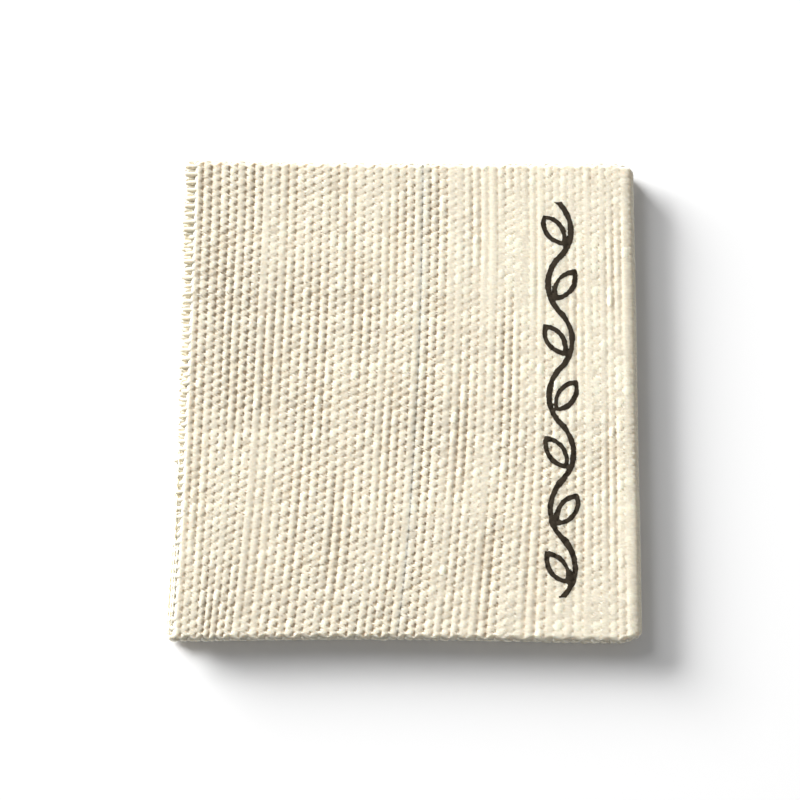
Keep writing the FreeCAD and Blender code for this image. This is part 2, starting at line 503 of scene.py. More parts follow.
    def flat(self, side: Side, run: np.ndarray, across: np.ndarray) -> tuple[np.ndarray, np.ndarray]:
        """Takes thread counts to distances on the flat strip.

        Args:
            side: the half of the strip.
            run: place along the strip, in picks from the turn.
            across: place across, in warp threads.

        Returns:
            Distance from the outermost line of the turn, and distance from the middle of the width.
        """
        knots, form, half_wide = self.knots[side], self.form, self.shape.half_wide
        last = self.sizes.ribs
        along = np.interp(run, np.arange(last + 1), knots)
        along = along + np.maximum(run - last, 0) * (knots[-1] - knots[-2])
        wide = self.pitch * (across - self.middle)
        far = self.shape.length(side)
        end = smooth_step((along - far + form.cut_zone) / form.cut_zone)
        first, second, third = form.bow
        bow = first * wide + second * wide**2 + third * wide**3 + form.slack * self._slack(along, wide)
        shift = bow * (1 - form.cut_hold * end) + form.cut_shift * end
        along = along - smooth_step(along / form.free_from) * shift
        rim = smooth_step((np.abs(wide) - half_wide + form.rim) / form.rim)
        tuck = form.tuck * np.exp(-((along / form.tuck_reach) ** 2)) * rim
        sway = form.wander * self._wander(side.value * run, 0.3 * across)
        halfway = np.sin(np.pi * np.clip(along / far, 0, 1))
        waist = form.waist * halfway * np.clip(wide / half_wide, -1, 1) ** 3
        return along, wide - np.sign(wide) * tuck - waist + sway * smooth_step(along / 2)

    def surface(self, side: Side, run: np.ndarray, column: np.ndarray, face: Face) -> np.ndarray:
        """Points on the woven surface of the folded strip.

        Args:
            side: the half of the strip.
            run: place along the strip, in picks from the turn.
            column: place across, in warp threads, before the sway.
            face: the face looked at.

        Returns:
            The points, with x, y and z in the last axis.
        """
        across = self.columns(side, run, column)
        height, _ = self.top(side, run, across, face)
        edge = (0.5 * self.sizes.warps - np.abs(column - self.middle)) / self.sizes.closing
        end = (self.sizes.ribs - run) / self.sizes.ending
        closing = np.sqrt(np.clip(1 - (1 - np.clip(edge, 0, 1)) ** 2, 0, 1))
        ending = np.sqrt(np.clip(1 - (1 - np.clip(end, 0, 1)) ** 2, 0, 1))
        lift = face.value * height * (0.1 + 0.9 * closing) * (0.12 + 0.88 * ending)
        return self.at(side, run, across, lift)

    def at(self, side: Side, run: np.ndarray, across: np.ndarray, lift: np.ndarray) -> np.ndarray:
        """Takes thread counts and a height to a point of the folded strip.

        Args:
            side: the half of the strip.
            run: place along the strip, in picks from the turn.
            across: place across, in warp threads.
            lift: height above the cloth's middle, positive towards the outer face.

        Returns:
            The points, with x, y and z in the last axis.
        """
        run, across, lift = np.broadcast_arrays(
            np.asarray(run, float), np.asarray(across, float), np.asarray(lift, float)
        )
        along, wide = self.flat(side, run, across)
        return self.shape.place(side, along, wide, lift)


@dataclass
class Patch:
    """A rectangle of mesh points on one face of the cloth, with what its material reads.

    Attributes:
        points: places of the points, rows along the strip and columns across it.
        normals: directions that the surface faces there.
        threads: thread coordinates, in picks and in warp threads.
        tone: tone of the thread on top, lowered by painted shade where the cloth is open.
        depth: how deep the surface lies, from 0 on a crest to 1 in a pore; the material paints shade by
            it.
    """

    points: np.ndarray
    normals: np.ndarray
    threads: np.ndarray
    tone: np.ndarray
    depth: np.ndarray


class MeshParts:
    """Collects points and triangles, and makes one mesh object of them."""

    def __init__(self) -> None:
        """Starts with nothing collected."""
        self._points: list[np.ndarray] = []
        self._normals: list[np.ndarray] = []
        self._threads: list[np.ndarray] = []
        self._tone: list[np.ndarray] = []
        self._depth: list[np.ndarray] = []
        self._faces: list[np.ndarray] = []
        self.count = 0

    def add_points(
        self,
        points: np.ndarray,
        normals: np.ndarray,
        threads: np.ndarray,
        tone: np.ndarray | float,
        depth: np.ndarray | float,
    ) -> int:
        """Adds points and what their material reads.

        Args:
            points: places of the points.
            normals: directions that the surface faces there.
            threads: thread coordinates.
            tone: tone of each point, or one for all.
            depth: depth of each point, or one for all.

        Returns:
            The number of the first one added.
        """
        size = len(points)
        first = self.count
        self._points.append(points)
        self._normals.append(normals)
        self._threads.append(np.broadcast_to(threads, (size, 2)))
        self._tone.append(np.broadcast_to(tone, size))
        self._depth.append(np.broadcast_to(depth, size))
        self.count += size
        return first

    def add_faces(self, faces: np.ndarray, flip: bool = False) -> None:
        """Adds triangles.

        Args:
            faces: numbers of the three corners of each.
            flip: whether they are turned over.
        """
        faces = np.asarray(faces, int).reshape(-1, 3)
        self._faces.append(faces[:, ::-1] if flip else faces)

    def make(self, name: str, finish: bpy.types.Material) -> bpy.types.Object:
        """Makes the mesh object.

        Args:
            name: name of the piece.
            finish: its material.

        Returns:
            The new object, at the origin.
        """
        points = np.concatenate(self._points) * MM
        faces = np.concatenate(self._faces)
        mesh = bpy.data.meshes.new(name)
        mesh.from_pydata(points.tolist(), [], faces.tolist())
        mesh.polygons.foreach_set("use_smooth", np.ones(len(faces), bool))
        threads = mesh.uv_layers.new(name="threads")
        threads.data.foreach_set("uv", np.concatenate(self._threads)[faces.ravel()].ravel())
        for label, values in (("tone", self._tone), ("depth", self._depth)):
            field = mesh.attributes.new(label, "FLOAT", "POINT")
            field.data.foreach_set("value", np.concatenate(values))
        mesh.update()
        mesh.normals_split_custom_set_from_vertices(np.concatenate(self._normals).tolist())
        mesh.materials.append(finish)
        piece = bpy.data.objects.new(name, mesh)
        bpy.context.scene.collection.objects.link(piece)
        log.info("%s has %d triangles", name, len(faces))
        return piece


def grid_faces(first: int, rows: int, columns: int) -> np.ndarray:
    """Joins a rectangle of points with triangles.

    Args:
        first: number of its first point; the rest follow row by row.
        rows: number of rows.
        columns: number of points in a row.

    Returns:
        The corners of each triangle.
    """
    corner = first + (np.arange(rows - 1)[:, None] * columns + np.arange(columns - 1)[None]).ravel()
    up, right = corner + columns, corner + 1
    return np.concatenate([np.stack([corner, up, up + 1], 1), np.stack([corner, up + 1, right], 1)])


def zip_faces(left: np.ndarray, right: np.ndarray) -> list[tuple[int, int, int]]:
    """Joins two lines of points that run side by side but differ in count.

    Args:
        left: point numbers of the first line.
        right: point numbers of the second line.

    Returns:
        The corners of each triangle.
    """
    faces, i, j = [], 0, 0
    left_last, right_last = len(left) - 1, len(right) - 1
    while i < left_last or j < right_last:
        left_is_behind = (i + 1) * right_last <= (j + 1) * left_last
        if j == right_last or (i < left_last and left_is_behind):
            faces.append((left[i], left[i + 1], right[j]))
            i += 1
        else:
            faces.append((left[i], right[j + 1], right[j]))
            j += 1
    return faces


class ClothHalf:
    """Builds the closed relief sheets of one half of the strip."""

    # Places of the mesh rows within a pick and of the mesh columns about a warp thread.
    OUTER_STEPS, OUTER_SPLITS = (0.0, 0.2, 0.5, 0.8), (-0.5, -0.3, -0.1, 0.1, 0.3)
    INNER_STEPS, INNER_SPLITS = (0.0, 0.3, 0.7), (-0.5, -0.17, 0.17)

    def __init__(self, weave: Weave, side: Side) -> None:
        """Takes the weave and the half of the strip to build."""
        self.weave, self.side = weave, side

    def patch(self, first_rib: int, last_rib: int, face: Face) -> Patch:
        """Samples one face between two valleys.

        Args:
            first_rib: valley nearer the turn.
            last_rib: valley nearer the cut end.
            face: the face to sample.

        Returns:
            The sampled points, with rows along the strip and columns across it.
        """
        outer = face is Face.OUTER
        steps = self.OUTER_STEPS if outer else self.INNER_STEPS
        splits = self.OUTER_SPLITS if outer else self.INNER_SPLITS
        warps = self.weave.sizes.warps
        rows = [rib + step for rib in range(first_rib, last_rib) for step in steps] + [last_rib]
        cols = [warp + split for warp in range(warps) for split in splits] + [warps - 0.5]
        run, column = np.meshgrid(np.array(rows, float), np.array(cols, float), indexing="ij")
        side = self.side
        points = self.weave.surface(side, run, column, face)
        run_step, column_step = 0.07, 0.1
        along = self.weave.surface(side, run + run_step, column, face) - self.weave.surface(
            side, np.maximum(run - run_step, 0), column, face
        )
        across = self.weave.surface(side, run, column + column_step, face) - self.weave.surface(
            side, run, column - column_step, face
        )
        normals = np.cross(along, across) * (-side.value * face.value)
        normals /= np.maximum(np.linalg.norm(normals, axis=-1, keepdims=True), 1e-12)
        height, tone = self.weave.top(side, run, self.weave.columns(side, run, column), face)
        sizes = self.weave.sizes
        # Depth sets how much of the painted pore shade the material mixes in.
        depth = np.clip((sizes.pick_top - height) / sizes.pore_shade_depth, 0, 1)
        return Patch(points, normals, np.stack([side.value * run, column], -1), tone, depth)

    def build(
        self, name: str, first_rib: int, last_rib: int, finish: bpy.types.Material
    ) -> bpy.types.Object:
        """Makes one closed sheet of woven cloth.

        Args:
            name: name of the piece.
            first_rib: valley nearer the turn.
            last_rib: valley nearer the cut end.
            finish: its material.

        Returns:
            The new object.
        """
        outer = self.patch(first_rib, last_rib, Face.OUTER)
        inner = self.patch(first_rib, last_rib, Face.INNER)
        parts = MeshParts()
        numbers = []
        for patch in (outer, inner):
            first = parts.add_points(
                patch.points.reshape(-1, 3),
                patch.normals.reshape(-1, 3),
                patch.threads.reshape(-1, 2),
                patch.tone.ravel(),
                patch.depth.ravel(),
            )
            shape = patch.points.shape[:2]
            turned = (self.side is Side.FRONT) == (patch is outer)
            parts.add_faces(grid_faces(first, *shape), flip=turned)
            numbers.append(first + np.arange(shape[0] * shape[1]).reshape(shape))
        top, low = numbers
        turned = self.side is Side.FRONT
        parts.add_faces(zip_faces(top[:, 0], low[:, 0]), flip=not turned)
        parts.add_faces(zip_faces(top[:, -1], low[:, -1]), flip=turned)
        parts.add_faces(zip_faces(top[0], low[0]), flip=turned)
        parts.add_faces(zip_faces(top[-1], low[-1]), flip=not turned)
        return parts.make(name, finish)


class ThreadBundle:
    """Builds many separate threads as one mesh."""

    # Depth that the material reads on a loose thread, which mixes in that share of the painted pore shade,
    # and how much the threads differ in tone.
    DEPTH, TONE = 0.12, 0.7

    def __init__(self, rng: np.random.Generator) -> None:
        """Starts an empty bundle that takes its unevenness from rng."""
        self._rng = rng
        self._parts = MeshParts()

    def add(
        self, path: np.ndarray, radius: np.ndarray, sides: int, ply: float = 0.0, turns: float = 0.0
    ) -> None:
        """Sweeps a round or two-ply section along a path.

        Args:
            path: points along the thread.
            radius: radius at each point.
            sides: points around the section.
            ply: how far the two plies stand out, as a share of the radius.
            turns: turns of the plies along the whole thread.
        """
        path = np.asarray(path, float)
        count = len(path)
        radius = np.broadcast_to(np.asarray(radius, float), count)
        ahead = np.gradient(path, axis=0)
        ahead /= np.linalg.norm(ahead, axis=1, keepdims=True)
        up = np.array([0.13, 0.21, 0.97])
        frame = []
        for way in ahead:
            up = up - (up @ way) * way
            up = up / np.linalg.norm(up)
            frame.append(up)
        first = np.array(frame)
        second = np.cross(ahead, first)
        around = np.arange(sides) * 2 * math.pi / sides
        twist = np.linspace(0, 2 * math.pi * turns, count)[:, None] + self._rng.uniform(0, 2 * math.pi)
        swell = 1 + ply * np.cos(2 * (around[None] - twist))
        cosine, sine = np.cos(around)[None, :, None], np.sin(around)[None, :, None]
        out = first[:, None] * cosine + second[:, None] * sine
        points = path[:, None] + out * (radius[:, None] * swell)[..., None]
        ends = path[[0, -1]] + np.array([-0.5, 0.5])[:, None] * ahead[[0, -1]] * radius[[0, -1], None]
        lengthwise = np.linspace(0, count * 0.3, count)[:, None]
        threads = np.stack(np.broadcast_arrays(lengthwise, around / 6.3), -1)
        start = self._parts.add_points(
            np.concatenate([points.reshape(-1, 3), ends]),
            np.concatenate([out.reshape(-1, 3), np.array([[-1.0], [1.0]]) * ahead[[0, -1]]]),
            np.concatenate([threads.reshape(-1, 2) + self._rng.uniform(0, 90, 2), np.zeros((2, 2))]),
            float(self._rng.normal(0, self.TONE)),
            self.DEPTH,
        )
        ring = np.arange(sides)
        turned = (ring + 1) % sides
        base = start + np.arange(count - 1)[:, None] * sides
        low, high = base + ring, base + turned
        self._parts.add_faces(np.stack([low, high, high + sides], -1))
        self._parts.add_faces(np.stack([low, high + sides, low + sides], -1))
        first_cap, last_cap = start + count * sides, start + count * sides + 1
        last = start + (count - 1) * sides
        self._parts.add_faces(np.stack([start + turned, start + ring, np.full(sides, first_cap)], 1))
        self._parts.add_faces(np.stack([last + ring, last + turned, np.full(sides, last_cap)], 1))

    def make(self, name: str, finish: bpy.types.Material) -> bpy.types.Object:
        """Makes the bundle's object, as MeshParts.make does."""
        return self._parts.make(name, finish)


class EdgeThreads:
    """Builds the threads around the cloth: selvedge turns, cut warp ends, loose picks, stray fibres."""

    # Selvedge turns, with their slant in picks, their inner and outer reach in warp spacings, and
    # their lift and radius in millimetres.
    TURN_SLANT, TURN_INSIDE, TURN_OUT = 0.42, 0.66, 0.5
    TURN_LIFT, TURN_RADIUS = 0.07, 0.115
    # Warp ends: millimetres past the flat strip, radius, and how the radius goes along the end.
    BEYOND, END_RADIUS = 0.15, 0.11
    END_TAPER = (0.95, 1, 1.03, 1.05, 1.0, 0.72)
    HAIR_ROOT, HAIR_TIP = 0.014, 0.006
    # Loose picks: first and last warp thread, picks past the last one, lift in millimetres.
    LOOSE = ((1, 46, 0.4, 0.01), (1, 30, 0.05, 0.12), (90, 115, 0.02, 0.06))
    LOOSE_RADIUS, LOOSE_PLY = 0.075, 0.14
    # Share of that lift on the back half, whose outer face lies on the table.
    BACK_LIFT = 0.15

    def __init__(self, weave: Weave, side: Side, seed: int) -> None:
        """Takes the weave, the half of the strip, and the number that fixes the unevenness."""
        self.weave, self.side = weave, side
        self.rng = np.random.default_rng(seed + side.value)

    def selvedge_turns(self, name: str, finish: bpy.types.Material) -> bpy.types.Object:
        """Makes the loops in which each pick turns back into the cloth at the woven edges.

        Args:
            name: name of the piece.
            finish: its material.

        Returns:
            The new object.
        """
        bundle, weave, rng = ThreadBundle(self.rng), self.weave, self.rng
        half = 0.5 * weave.sizes.warps
        share = np.linspace(0, 1, 9)
        for edge in (-1, 1):
            for rib in range(weave.sizes.ribs):
                out = np.sqrt(np.clip(np.sin(math.pi * share), 0, 1))
                slant = self.TURN_SLANT + 0.04 * rng.normal()
                run = np.maximum(rib + 0.5 + slant * np.cos(math.pi * share) + rng.normal(0, 0.04), 0.02)
                reach = half - self.TURN_INSIDE + out * (self.TURN_OUT + rng.normal(0, 0.04))
                across = weave.middle + edge * reach
                lift = (self.TURN_LIFT + rng.normal(0, 0.006)) * np.cos(math.pi * share)
                path = weave.at(self.side, run, across, lift)
                radius = self.TURN_RADIUS * (1 + 0.05 * rng.normal()) * (0.75 + 0.25 * out)
                bundle.add(path, radius, sides=9)
        return bundle.make(name, finish)

    def warp_ends(self, name: str, finish: bpy.types.Material) -> bpy.types.Object:
        """Makes the short warp ends that stand out past the last pick, each with one stray fibre.

        Args:
            name: name of the piece.
            finish: its material.

        Returns:
            The new object.
        """
        bundle, weave, rng = ThreadBundle(self.rng), self.weave, self.rng
        last = weave.sizes.ribs
        cut = weave.shape.length(self.side) + self.BEYOND
        step = weave.shape.length(self.side) / last
        ragged = Ripple(rng, 4, 30)
        for warp in range(weave.sizes.warps):
            over = math.cos(math.pi * (self.side.value * last - 0.5 - warp + 0.5 * self.side.value))
            share = np.linspace(0, 1, 6)
            from_cut = cut - float(weave.flat(self.side, float(last), float(warp))[0])
            reach = from_cut / step - 0.12 + 0.12 * rng.normal() + 0.1 * float(ragged(np.array(warp), 0.0))
            reach = max(reach, 0.2)
            drift = 0.16 * rng.normal() + 0.1
            run = last - 0.45 + share * (0.45 + reach)
            across = warp + drift * share**1.5
            lift = (0.05 + 0.06 * over) * np.cos(1.2 * share) + 0.02 * rng.normal() * share
            path = weave.at(self.side, run, across, lift)
            full = self.END_RADIUS + 0.014 * over + 0.008 * rng.normal()
            bundle.add(path, full * np.array(self.END_TAPER), sides=9)
            tip = reach + rng.uniform(0.05, 0.2)
            start = reach * rng.uniform(0.5, 0.85)
            strand = start + (tip - start) * np.linspace(0, 1, 4)
            spread = rng.normal(0, 0.5) * np.linspace(0.2, 1, 4) ** 1.4
            rise = float(lift[-1]) + rng.normal(0, 0.07) * np.linspace(0.2, 1, 4)
            hair = weave.at(self.side, last + strand, warp + drift + spread, rise)
            bundle.add(hair, np.linspace(self.HAIR_ROOT, self.HAIR_TIP, 4), sides=3)
        return bundle.make(name, finish)

    def loose_picks(self, name: str, finish: bpy.types.Material) -> bpy.types.Object:
        """Makes the picks that have worked loose along the cut end.

        Args:
            name: name of the piece.
            finish: its material.

        Returns:
            The new object.
        """
        bundle, weave, rng = ThreadBundle(self.rng), self.weave, self.rng
        last = weave.sizes.ribs
        raised = 1.0 if self.side is Side.FRONT else self.BACK_LIFT
        for first, final, beyond, rise in self.LOOSE:
            across = np.linspace(first, final, 3 * (final - first) + 1)
            wave = Ripple(rng, 9, 60)
            share = np.linspace(0, 1, len(across))
            held = np.sin(math.pi * share) ** 0.5
            run = last + beyond + 0.07 * wave(across, 0 * across)
            weaving = 0.055 * np.cos(math.pi * across + (0 if self.side is Side.FRONT else math.pi))
            lift = weaving + held * rise * raised + 0.012 * wave(2 * across, 1 + 0 * across)
            path = weave.at(self.side, run, across, lift)
            radius = self.LOOSE_RADIUS * (0.6 + 0.4 * held)
            bundle.add(path, radius, sides=7, ply=self.LOOSE_PLY, turns=len(across) / 9)
        return bundle.make(name, finish)


class PrintedVine:
    """The running vine that is printed on the front, as a film that follows the weave."""

    # Millimetres: length of one bend of the stem, half its line's width, how far it swings.
    PITCH, STEM_HALF, SWING = 2.9, 0.14, 0.6
    LEAF_LONG, LEAF_WIDE, LEAF_LINE, LEAF_ASIDE = 2.0, 1.05, 0.24, 0.27
    LEAF_LEAN = math.radians(35)
    CELLS = 7
    # How far the film lies above the threads, and how much the weave breaks the ink's edge.
    ABOVE, RAGGED, FINE, INTO_PORES = 0.006, 0.018, 0.012, 0.09

    def __init__(self, centre_x: float, seed: int) -> None:
        """Takes the middle of the printed band and the number that fixes its ragged edge."""
        self.centre_x = centre_x
        rng = np.random.default_rng(seed)
        self._ragged = Ripple(rng, 0.35, 1.6, 12)
        self._fine = Ripple(rng, 0.14, 0.4, 12)

    def outside(self, x: np.ndarray, y: np.ndarray) -> np.ndarray:
        """Measures how far places on the label are from the inked lines.

        Args:
            x: place along the strip.
            y: place across it.

        Returns:
            The distance in millimetres, negative inside the lines.
        """
        x = x - self.centre_x
        best = np.full(x.shape, 9.0)
        half = 0.5 * self.PITCH
        bow = (self.SWING**2 + half**2) / (2 * self.SWING)
        long, wide = 0.5 * self.LEAF_LONG, 0.5 * self.LEAF_WIDE
        lens = (long * long + wide * wide) / (2 * wide)
        for cell in range(self.CELLS):
            way = 1 if cell % 2 == 0 else -1
            level = y - (cell - self.CELLS // 2) * self.PITCH
            from_centre = x - way * (self.SWING - bow)
            stem = np.abs(np.hypot(from_centre, level) - bow) - self.STEM_HALF
            stem = np.where(way * from_centre > 0, stem, bow)
            best = np.minimum(best, np.maximum(stem, np.abs(level) - half - 0.06))
            lean = way * self.LEAF_LEAN
            side = x + way * self.LEAF_ASIDE
            up = -math.sin(lean) * side + math.cos(lean) * level
            out = np.abs(math.cos(lean) * side + math.sin(lean) * level)
            leaf = np.hypot(up, out + lens - wide) - lens
            best = np.minimum(best, np.maximum(leaf, -leaf - self.LEAF_LINE))
        return best

    def build(self, name: str, patch: Patch, finish: bpy.types.Material) -> bpy.types.Object:
        """Cuts the film out of the cloth's own triangles.

        Args:
            name: name of the piece.
            patch: outer face of the cloth that carries the print.
            finish: its material.

        Returns:
            The new object.
        """
        points, normals = patch.points.reshape(-1, 3), patch.normals.reshape(-1, 3)
        x, y = points[:, 0], points[:, 1]
        depth = patch.depth.ravel()
        value = self.outside(x, y) + self.RAGGED * self._ragged(x, y) + self.FINE * self._fine(x, y)
        value = value + self.INTO_PORES * np.clip(depth - 0.5, 0, 1)
        faces = grid_faces(0, *patch.points.shape[:2])[:, ::-1]
        faces = faces[(value[faces] < 0).any(1)]
        threads, tone = patch.threads.reshape(-1, 2), patch.tone.reshape(-1, 1)
        fields = np.concatenate([points, normals, threads, tone, depth[:, None]], 1)
        made: list[np.ndarray] = []
        known: dict[tuple[int, int], int] = {}
        triangles: list[tuple[int, int, int]] = []

        def corner(a: int, b: int) -> int:
            """Finds or makes the film point at a mesh point, or where the ink ends between two.

            Args:
                a: number of a mesh point.
                b: number of the other one, or a again.

            Returns:
                The number of the film point.
            """
            key = (min(a, b), max(a, b))
            if key not in known:
                share = 0.0 if a == b else value[a] / (value[a] - value[b])
                known[key] = len(made)
                made.append(fields[a] + share * (fields[b] - fields[a]))
            return known[key]

        for face in faces:
            ring = []
            for a, b in zip(face, np.roll(face, -1)):
                if value[a] < 0:
                    ring.append(corner(a, a))
                if (value[a] < 0) != (value[b] < 0):
                    ring.append(corner(a, b))
            triangles += [(ring[0], ring[k], ring[k + 1]) for k in range(1, len(ring) - 1)]
        film = np.array(made)
        parts = MeshParts()
        facing = film[:, 3:6]
        raised = film[:, :3] + self.ABOVE * facing
        parts.add_points(raised, facing, film[:, 6:8], film[:, 8], film[:, 9])
        parts.add_faces(np.array(triangles))
        return parts.make(name, finish)


@dataclass(frozen=True)
class CottonFinish:
    """Colours and surface of one kind of thread. Colours are linear.

    Attributes:
        name: name of the material.
        crest: colour on top of the threads.
        pore: colour between them, painted shade for the pores, mixed in by depth.
        roughness: roughness of the surface.
        fibre_depth: strength of the fibres' relief.
        specular: strength of the gloss.
        tones: how much the darkest and the palest threads are shaded; the tone holds each thread's own
            tone and the painted shade of open cloth.
        glow: share of the light that passes through the yarn.
        glow_reach: how far it passes, in millimetres.
        glow_radius: how far it passes in red, green and blue, as shares of that.
    """

    name: str
    crest: tuple[float, float, float]
    pore: tuple[float, float, float]
    roughness: float
    fibre_depth: float
    specular: float = 0.2
    tones: tuple[float, float] = (0.84, 1.1)
    glow: float = 0.85
    glow_reach: float = 0.28
    glow_radius: tuple[float, float, float] = (0.85, 0.78, 0.7)


@dataclass(frozen=True)
class InkFinish:
    """Colours and surface of the print. Colours are linear.

    Attributes:
        name: name of the material.
        thick: colour where the ink is thick.
        thin: colour where it is thin.
        roughness: roughness of the surface.
        fibre_depth: strength of the fibres' relief.
        specular: strength of the gloss.
    """

    name: str
    thick: tuple[float, float, float]
    thin: tuple[float, float, float]
    roughness: float
    fibre_depth: float = 0.3
    specular: float = 0.12


# The pore colours of these finishes are painted shade, mixed in where the surface lies deep.
TAPE = CottonFinish("cotton_tape", (0.88, 0.815, 0.67), (0.70, 0.57, 0.40), 0.9, 0.6)
# Painted shade: the loose threads are drawn darker than the tape's cotton to tone down the strong low
# light on the cut ends.
LOOSE = CottonFinish("cotton_loose_shaded", (0.82, 0.76, 0.62), (0.77, 0.69, 0.54), 0.92, 0.4)
INK = InkFinish("vine_ink", (0.022, 0.017, 0.011), (0.055, 0.042, 0.028), 0.88)


class Finishes:
    """Makes the materials and the node group that they share."""

    # Depth of the fibres' relief at full strength, in millimetres.
    FIBRE_RELIEF = 0.02

    def __init__(self) -> None:
        """Makes the shared group."""
        self._fibres = self._fibre_group()

    @staticmethod
    def _fibre_group() -> bpy.types.NodeTree:
        """Makes the group that gives a thread its tone, its own plus the painted shade of open cloth, and
        its twisted fibres.

        Returns:
            The node group, with the outputs Tone and Fibre.
        """
        group = bpy.data.node_groups.new("spun_fibres", "ShaderNodeTree")
        for name in ("Tone", "Fibre"):
            group.interface.new_socket(name=name, in_out="OUTPUT", socket_type="NodeSocketFloat")
        nodes, links = group.nodes, group.links
        out = nodes.new("NodeGroupOutput")
        threads = nodes.new("ShaderNodeUVMap")
        threads.uv_map = "threads"
        spin = nodes.new("ShaderNodeMapping")
        spin.inputs["Rotation"].default_value = (0, 0, math.radians(24))
        spin.inputs["Scale"].default_value = (1.3, 4.6, 1.0)
        fibre = nodes.new("ShaderNodeTexNoise")
        fibre.inputs["Scale"].default_value = 1.0
        fibre.inputs["Detail"].default_value = 5.0
        tone = nodes.new("ShaderNodeAttribute")
        tone.attribute_name = "tone"
        patchy = nodes.new("ShaderNodeTexNoise")
        patchy.inputs["Scale"].default_value = 1.9
        patchy.inputs["Detail"].default_value = 2.0
        half = nodes.new("ShaderNodeMath")
        half.operation = "MULTIPLY_ADD"
        half.inputs[1].default_value = 0.16
        links.new(threads.outputs["UV"], spin.inputs["Vector"])
        links.new(spin.outputs["Vector"], fibre.inputs["Vector"])
        links.new(threads.outputs["UV"], patchy.inputs["Vector"])
        links.new(tone.outputs["Fac"], half.inputs[0])
        links.new(patchy.outputs["Fac"], half.inputs[2])
        links.new(half.outputs["Value"], out.inputs["Tone"])
        links.new(fibre.outputs["Fac"], out.inputs["Fibre"])
        return group

    def _shell(self, name: str) -> tuple[bpy.types.Material, bpy.types.Node, bpy.types.Node]:
        """Makes a material with its shader and the shared fibre group.

        Args:
            name: name of the material.

        Returns:
            The material, the shader node and the group node.
        """
        material = bpy.data.materials.new(name)
        material.use_nodes = True
        tree = material.node_tree
        shader = tree.nodes["Principled BSDF"]
        fibres = tree.nodes.new("ShaderNodeGroup")
        fibres.node_tree = self._fibres
        return material, shader, fibres

    def _bump(
        self,
        tree: bpy.types.NodeTree,
        height: bpy.types.NodeSocket,
        shader: bpy.types.Node,
        strength: float,
    ) -> None:
        """Gives a material the fine relief of its fibres.

        Args:
            tree: nodes of the material.
            height: where the relief comes from, 0 to 1.
            shader: the material's shader.
            strength: strength of the relief, 0 to 1.
        """
        bump = tree.nodes.new("ShaderNodeBump")
        bump.inputs["Strength"].default_value = strength
        bump.inputs["Distance"].default_value = self.FIBRE_RELIEF * MM
        tree.links.new(height, bump.inputs["Height"])
        tree.links.new(bump.outputs["Normal"], shader.inputs["Normal"])

    def cotton(self, finish: CottonFinish) -> bpy.types.Material:
        """Makes a cotton material: pale crests, painted shade in the pores as a warmer, darker colour,
        each thread a little different.

        Args:
            finish: colours and surface of the thread.

        Returns:
            The material.
        """
        material, shader, fibres = self._shell(finish.name)
        tree = material.node_tree
        depth = tree.nodes.new("ShaderNodeAttribute")
        depth.attribute_name = "depth"
        colour = tree.nodes.new("ShaderNodeMix")
        colour.data_type = "RGBA"
        colour.inputs["A"].default_value = (*finish.crest, 1)
        colour.inputs["B"].default_value = (*finish.pore, 1)
        shade = tree.nodes.new("ShaderNodeMapRange")
        shade.inputs["From Min"].default_value = 0.2
        shade.inputs["From Max"].default_value = 0.8
        shade.inputs["To Min"].default_value, shade.inputs["To Max"].default_value = finish.tones
        tinted = tree.nodes.new("ShaderNodeMix")
        tinted.data_type = "RGBA"
        tinted.blend_type = "MULTIPLY"
        tinted.inputs["Factor"].default_value = 1.0
        links = tree.links
        # Painted shade: the deeper the surface, the more of the darker pore colour.
        links.new(depth.outputs["Fac"], colour.inputs["Factor"])
        # The tone carries each thread's own tone and the painted shade of open cloth.
        links.new(fibres.outputs["Tone"], shade.inputs["Value"])
        links.new(colour.outputs["Result"], tinted.inputs["A"])
        links.new(shade.outputs["Result"], tinted.inputs["B"])
        links.new(tinted.outputs["Result"], shader.inputs["Base Color"])
        self._bump(tree, fibres.outputs["Fibre"], shader, finish.fibre_depth)
        shader.inputs["Roughness"].default_value = finish.roughness
        shader.inputs["Specular IOR Level"].default_value = finish.specular
        shader.inputs["Subsurface Weight"].default_value = finish.glow
        shader.inputs["Subsurface Radius"].default_value = finish.glow_radius
        shader.inputs["Subsurface Scale"].default_value = finish.glow_reach * MM
        return material

    def ink(self, finish: InkFinish) -> bpy.types.Material:
        """Makes the ink: a dark film that the fibres make a little uneven.

        Args:
            finish: colours and surface of the print.

        Returns:
            The material.
        """
        material, shader, fibres = self._shell(finish.name)
        tree = material.node_tree
        colour = tree.nodes.new("ShaderNodeMix")
        colour.data_type = "RGBA"
        colour.inputs["A"].default_value = (*finish.thick, 1)
        colour.inputs["B"].default_value = (*finish.thin, 1)
        tree.links.new(fibres.outputs["Fibre"], colour.inputs["Factor"])
        tree.links.new(colour.outputs["Result"], shader.inputs["Base Color"])
        self._bump(tree, fibres.outputs["Fibre"], shader, finish.fibre_depth)
        shader.inputs["Roughness"].default_value = finish.roughness
        shader.inputs["Specular IOR Level"].default_value = finish.specular
        return material


